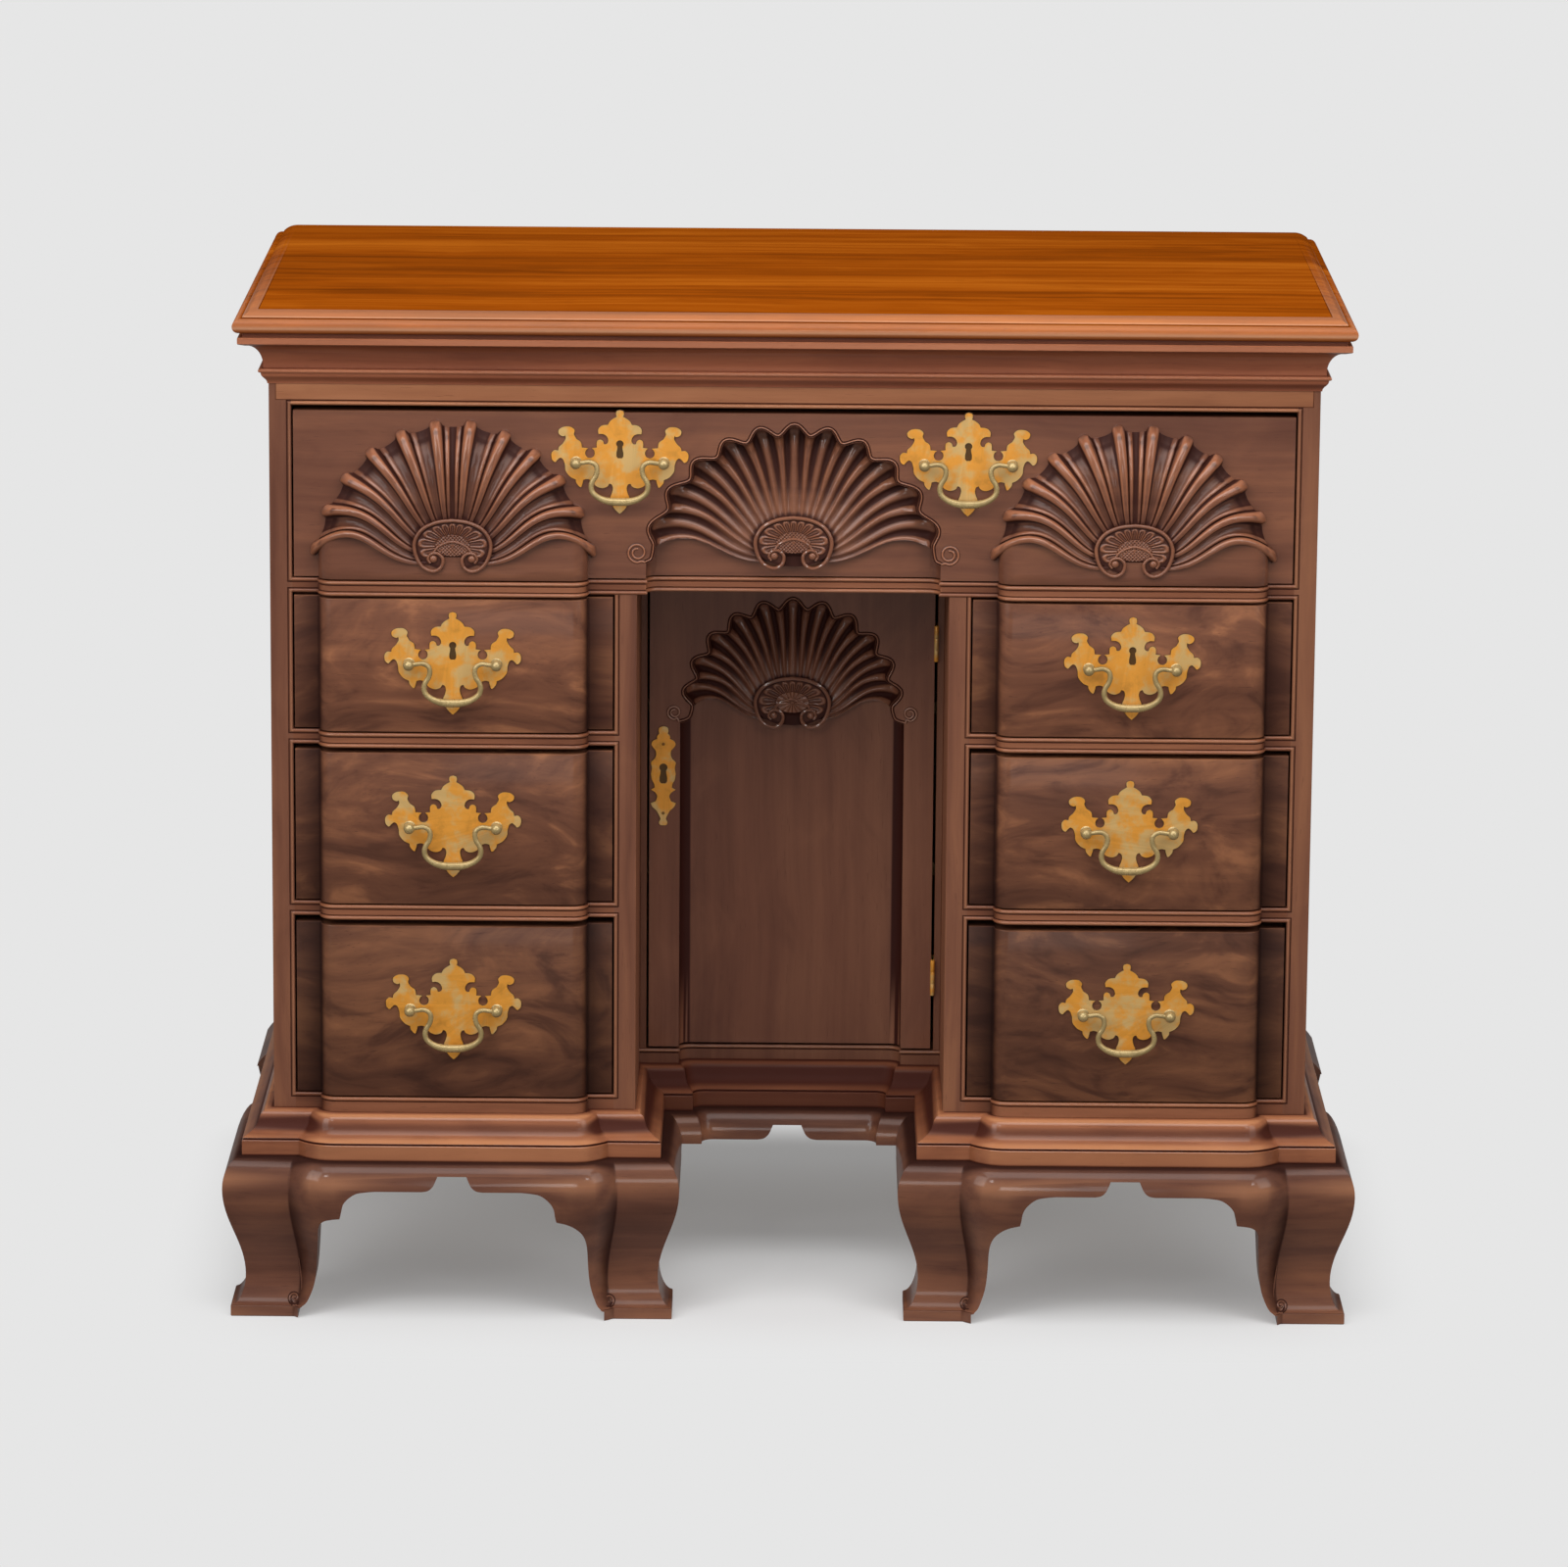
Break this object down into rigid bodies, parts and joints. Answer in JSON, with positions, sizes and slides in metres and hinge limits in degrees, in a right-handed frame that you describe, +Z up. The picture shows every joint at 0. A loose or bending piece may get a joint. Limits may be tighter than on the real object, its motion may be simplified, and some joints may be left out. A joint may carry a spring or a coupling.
{
  "type": "block front kneehole chest",
  "caption": "Block front kneehole chest with carved shells, blocked drawers, a recessed cupboard with a shell door, ogee bracket feet and brass bail pulls.",
  "frame": {"origin": "on the floor, under the middle of the whole outline", "axes": "+Z up, the front faces -Y, +X to the right of someone who faces the front"},
  "size_m": [0.954, 0.5436, 0.8562],
  "materials": {
    "mahogany_top": "polished",
    "mahogany": "polished",
    "mahogany_dark": "polished",
    "poplar": "raw",
    "chestnut": "raw",
    "brass": "lacquered",
    "bail_brass": "worn",
    "lock_iron": "dark"
  },
  "bodies": {
    "case": {"top_board": "mahogany_top", "cornice_moulding": "mahogany", "case_side_left": "mahogany", "case_side_right": "mahogany", "kneehole_sides": "mahogany_dark", "back_boards": "chestnut", "case_bottoms": "poplar", "dust_board": "poplar", "drawer_runners": "chestnut", "drawer_rails_left": "mahogany", "drawer_rails_right": "mahogany", "long_drawer_rail": "mahogany", "frieze_rail": "mahogany", "cupboard_frame": "mahogany_dark", "cupboard_shelves": "poplar", "base_moulding": "mahogany", "foot_front_left_outer": "mahogany", "foot_front_left_inner": "mahogany", "foot_front_right_inner": "mahogany", "foot_front_right_outer": "mahogany", "feet_rear": "mahogany", "kneehole_apron": "mahogany_dark", "glue_blocks": "poplar", "hinge_case_leaves": "brass"},
    "cupboard_door": {"door_panel": "mahogany_dark", "door_escutcheon": "brass", "door_lock": "lock_iron", "hinge_door_leaves": "brass"},
    "drawer_left_lower": {"drawer_left_lower_front": "mahogany", "drawer_left_lower_box": "poplar", "drawer_left_lower_plate": "brass"},
    "drawer_left_lower_bail": {"drawer_left_lower_bail": "bail_brass"},
    "drawer_left_middle": {"drawer_left_middle_front": "mahogany", "drawer_left_middle_box": "poplar", "drawer_left_middle_plate": "brass"},
    "drawer_left_middle_bail": {"drawer_left_middle_bail": "bail_brass"},
    "drawer_left_upper": {"drawer_left_upper_front": "mahogany", "drawer_left_upper_box": "poplar", "drawer_left_upper_plate": "brass"},
    "drawer_left_upper_bail": {"drawer_left_upper_bail": "bail_brass"},
    "drawer_right_lower": {"drawer_right_lower_front": "mahogany", "drawer_right_lower_box": "poplar", "drawer_right_lower_plate": "brass"},
    "drawer_right_lower_bail": {"drawer_right_lower_bail": "bail_brass"},
    "drawer_right_middle": {"drawer_right_middle_front": "mahogany", "drawer_right_middle_box": "poplar", "drawer_right_middle_plate": "brass"},
    "drawer_right_middle_bail": {"drawer_right_middle_bail": "bail_brass"},
    "drawer_right_upper": {"drawer_right_upper_front": "mahogany", "drawer_right_upper_box": "poplar", "drawer_right_upper_plate": "brass"},
    "drawer_right_upper_bail": {"drawer_right_upper_bail": "bail_brass"},
    "long_drawer": {"long_drawer_front": "mahogany", "long_drawer_box": "poplar", "long_drawer_shells": "mahogany", "long_drawer_lock": "lock_iron", "long_drawer_left_plate": "brass", "long_drawer_right_plate": "brass"},
    "long_drawer_left_bail": {"long_drawer_left_bail": "bail_brass"},
    "long_drawer_right_bail": {"long_drawer_right_bail": "bail_brass"}
  },
  "joints": [
    {"name": "door_hinge", "type": "hinge", "parent": "case", "child": "cupboard_door", "pos_m": [0.1229, -0.06025, 0.4], "axis": [0, 0, 1], "range_deg": [0, 88]},
    {"name": "drawer_left_lower_slide", "type": "slide", "parent": "case", "child": "drawer_left_lower", "axis": [0, -1, 0], "range_m": [0, 0.33]},
    {"name": "drawer_left_lower_bail_swing", "type": "hinge", "parent": "drawer_left_lower", "child": "drawer_left_lower_bail", "pos_m": [-0.28275, -0.24015, 0.26455], "axis": [-1, 0, 0], "range_deg": [-8, 95]},
    {"name": "drawer_left_middle_slide", "type": "slide", "parent": "case", "child": "drawer_left_middle", "axis": [0, -1, 0], "range_m": [0, 0.33]},
    {"name": "drawer_left_middle_bail_swing", "type": "hinge", "parent": "drawer_left_middle", "child": "drawer_left_middle_bail", "pos_m": [-0.28275, -0.24015, 0.42195], "axis": [-1, 0, 0], "range_deg": [-8, 95]},
    {"name": "drawer_left_upper_slide", "type": "slide", "parent": "case", "child": "drawer_left_upper", "axis": [0, -1, 0], "range_m": [0, 0.33]},
    {"name": "drawer_left_upper_bail_swing", "type": "hinge", "parent": "drawer_left_upper", "child": "drawer_left_upper_bail", "pos_m": [-0.28275, -0.24015, 0.5611], "axis": [-1, 0, 0], "range_deg": [-8, 95]},
    {"name": "drawer_right_lower_slide", "type": "slide", "parent": "case", "child": "drawer_right_lower", "axis": [0, -1, 0], "range_m": [0, 0.33]},
    {"name": "drawer_right_lower_bail_swing", "type": "hinge", "parent": "drawer_right_lower", "child": "drawer_right_lower_bail", "pos_m": [0.28275, -0.24015, 0.26455], "axis": [-1, 0, 0], "range_deg": [-8, 95]},
    {"name": "drawer_right_middle_slide", "type": "slide", "parent": "case", "child": "drawer_right_middle", "axis": [0, -1, 0], "range_m": [0, 0.33]},
    {"name": "drawer_right_middle_bail_swing", "type": "hinge", "parent": "drawer_right_middle", "child": "drawer_right_middle_bail", "pos_m": [0.28275, -0.24015, 0.42195], "axis": [-1, 0, 0], "range_deg": [-8, 95]},
    {"name": "drawer_right_upper_slide", "type": "slide", "parent": "case", "child": "drawer_right_upper", "axis": [0, -1, 0], "range_m": [0, 0.33]},
    {"name": "drawer_right_upper_bail_swing", "type": "hinge", "parent": "drawer_right_upper", "child": "drawer_right_upper_bail", "pos_m": [0.28275, -0.24015, 0.5611], "axis": [-1, 0, 0], "range_deg": [-8, 95]},
    {"name": "long_drawer_slide", "type": "slide", "parent": "case", "child": "long_drawer", "axis": [0, -1, 0], "range_m": [0, 0.33]},
    {"name": "long_drawer_left_bail_swing", "type": "hinge", "parent": "long_drawer", "child": "long_drawer_left_bail", "pos_m": [-0.1445, -0.22415, 0.7293], "axis": [-1, 0, 0], "range_deg": [-8, 95]},
    {"name": "long_drawer_right_bail_swing", "type": "hinge", "parent": "long_drawer", "child": "long_drawer_right_bail", "pos_m": [0.1445, -0.22415, 0.7293], "axis": [-1, 0, 0], "range_deg": [-8, 95]}
  ]
}
